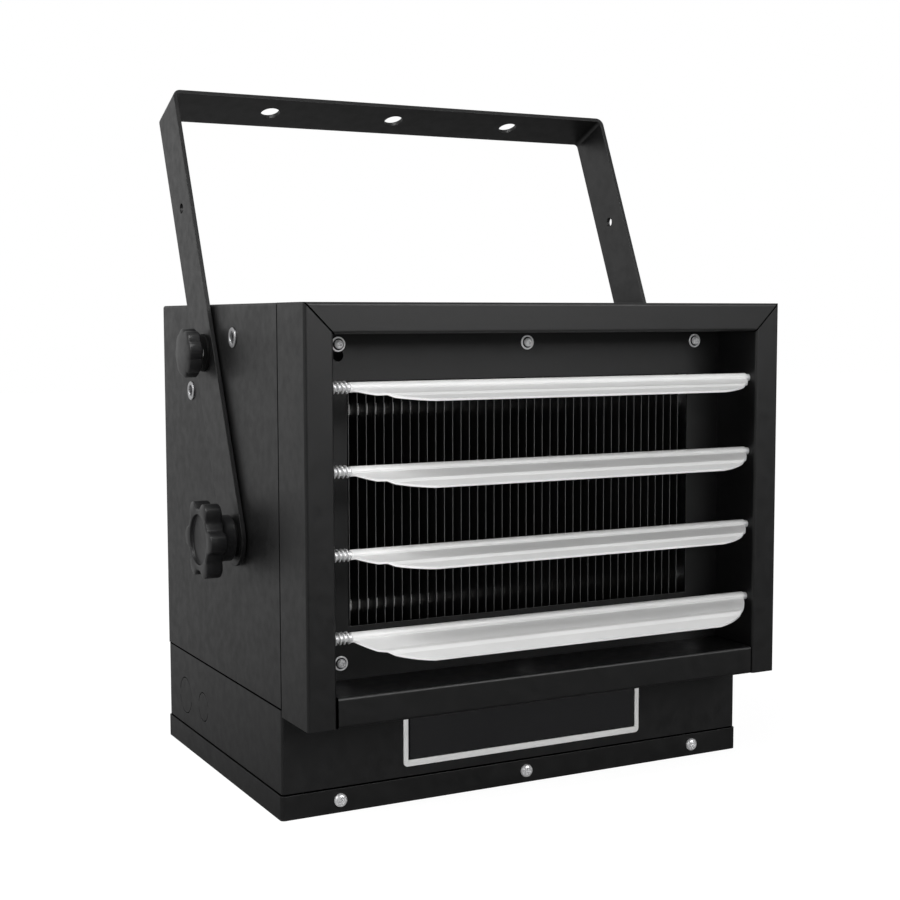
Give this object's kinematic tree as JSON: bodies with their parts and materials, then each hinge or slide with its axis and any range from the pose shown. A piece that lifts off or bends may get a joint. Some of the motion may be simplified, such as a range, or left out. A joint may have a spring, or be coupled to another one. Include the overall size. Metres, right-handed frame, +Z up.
{
  "type": "garage heater",
  "caption": "Ceiling-hung electric fan heater: a sheet-metal case on a control base, hand-set louvres over a finned element, and a U bracket that tilts on clamp knobs.",
  "frame": {"origin": "centre of the bottom cover's underside", "axes": "+X to the right seen from the front, +Y to the back, +Z up"},
  "size_m": [0.4286, 0.3166, 0.4997],
  "materials": {
    "case_paint": "satin black powder coat with a fine texture",
    "bracket_paint": "satin black powder coat",
    "outlet_paint": "satin black powder coat",
    "zinc": "bright zinc plate",
    "border_white": "white moulded border",
    "window": "dark glossy window",
    "circuit_board": "green circuit board",
    "standoff_brass": "turned brass",
    "relay_case": "black relay cases",
    "terminal_plastic": "dark phenolic",
    "copper_tab": "plain strip",
    "fin_aluminium": "plain rolled strip",
    "rod_sheath": "drawn tube",
    "galvanised": "galvanised sheet",
    "cutout_phenolic": "phenolic disc",
    "motor_paint": "black paint",
    "shaft_steel": "ground steel",
    "fan_aluminium": "pressed sheet",
    "spring_steel": "bright spring wire",
    "rod_steel": "drawn rod",
    "louvre_white": "white powder coat on an extrusion",
    "washer_fibre": "black fibre",
    "knob_plastic": "black moulded plastic"
  },
  "bodies": {
    "case": {"bottom_cover": "case_paint", "base_box": "case_paint", "cabinet_wrap": "case_paint", "rear_panel": "case_paint", "frame_top": "case_paint", "frame_left": "case_paint", "frame_right": "case_paint", "lower_rail": "case_paint", "outlet_plate": "outlet_paint", "plate_screws": "zinc", "plate_washers": "zinc", "base_screws": "zinc", "rivet_nuts": "zinc", "panel_border": "border_white", "control_window": "window", "display_board": "circuit_board", "control_board": "circuit_board", "board_standoffs": "standoff_brass", "relays": "relay_case", "terminal_block": "terminal_plastic", "ground_tab": "copper_tab", "fin_pack": "fin_aluminium", "heater_rods": "rod_sheath", "shelf": "galvanised", "element_end_plates": "galvanised", "fan_baffle": "galvanised", "motor_strap": "galvanised", "thermal_cutout": "cutout_phenolic", "fan_motor": "motor_paint", "louvre_springs": "spring_steel"},
    "bracket": {"bracket": "bracket_paint", "upper_washers": "washer_fibre", "lower_washers": "washer_fibre"},
    "fan": {"fan": "fan_aluminium", "fan_nut": "zinc", "motor_shaft": "shaft_steel"},
    "upper_knob_left": {"upper_knob_left": "knob_plastic", "upper_stud_left": "zinc"},
    "lower_knob_left": {"lower_knob_left": "knob_plastic", "lower_stud_left": "zinc"},
    "upper_knob_right": {"upper_knob_right": "knob_plastic", "upper_stud_right": "zinc"},
    "lower_knob_right": {"lower_knob_right": "knob_plastic", "lower_stud_right": "zinc"},
    "louvre_1": {"louvre_1": "louvre_white", "louvre_rod_1": "rod_steel"},
    "louvre_2": {"louvre_2": "louvre_white", "louvre_rod_2": "rod_steel"},
    "louvre_3": {"louvre_3": "louvre_white", "louvre_rod_3": "rod_steel"},
    "louvre_4": {"louvre_4": "louvre_white", "louvre_rod_4": "rod_steel"}
  },
  "joints": [
    {"name": "bracket_tilt", "type": "hinge", "parent": "case", "child": "bracket", "pos_m": [0, -0.0433, 0.179], "axis": [1, 0, 0], "range_deg": [-21.5, 21.5]},
    {"name": "upper_knob_left_turn", "type": "hinge", "parent": "bracket", "child": "upper_knob_left", "pos_m": [-0.2, 0.01173, 0.30555], "axis": [-1, 0, 0], "range_deg": [-540, 540]},
    {"name": "lower_knob_left_turn", "type": "hinge", "parent": "case", "child": "lower_knob_left", "pos_m": [-0.2, -0.0433, 0.179], "axis": [-1, 0, 0], "range_deg": [0, 540]},
    {"name": "upper_knob_right_turn", "type": "hinge", "parent": "bracket", "child": "upper_knob_right", "pos_m": [0.2, 0.01173, 0.30555], "axis": [1, 0, 0], "range_deg": [-540, 540]},
    {"name": "lower_knob_right_turn", "type": "hinge", "parent": "case", "child": "lower_knob_right", "pos_m": [0.2, -0.0433, 0.179], "axis": [1, 0, 0], "range_deg": [0, 540]},
    {"name": "louvre_1_tilt", "type": "hinge", "parent": "case", "child": "louvre_1", "pos_m": [0, -0.1583, 0.1262], "axis": [1, 0, 0], "range_deg": [-49, 41]},
    {"name": "louvre_2_tilt", "type": "hinge", "parent": "case", "child": "louvre_2", "pos_m": [0, -0.1583, 0.1796], "axis": [1, 0, 0], "range_deg": [-40, 50]},
    {"name": "louvre_3_tilt", "type": "hinge", "parent": "case", "child": "louvre_3", "pos_m": [0, -0.1583, 0.233], "axis": [1, 0, 0], "range_deg": [-43, 47]},
    {"name": "louvre_4_tilt", "type": "hinge", "parent": "case", "child": "louvre_4", "pos_m": [0, -0.1583, 0.2864], "axis": [1, 0, 0], "range_deg": [-41, 49]},
    {"name": "fan_spin", "type": "hinge", "parent": "case", "child": "fan", "pos_m": [0, 0.035, 0.2072], "axis": [0, 1, 0], "continuous": true}
  ]
}
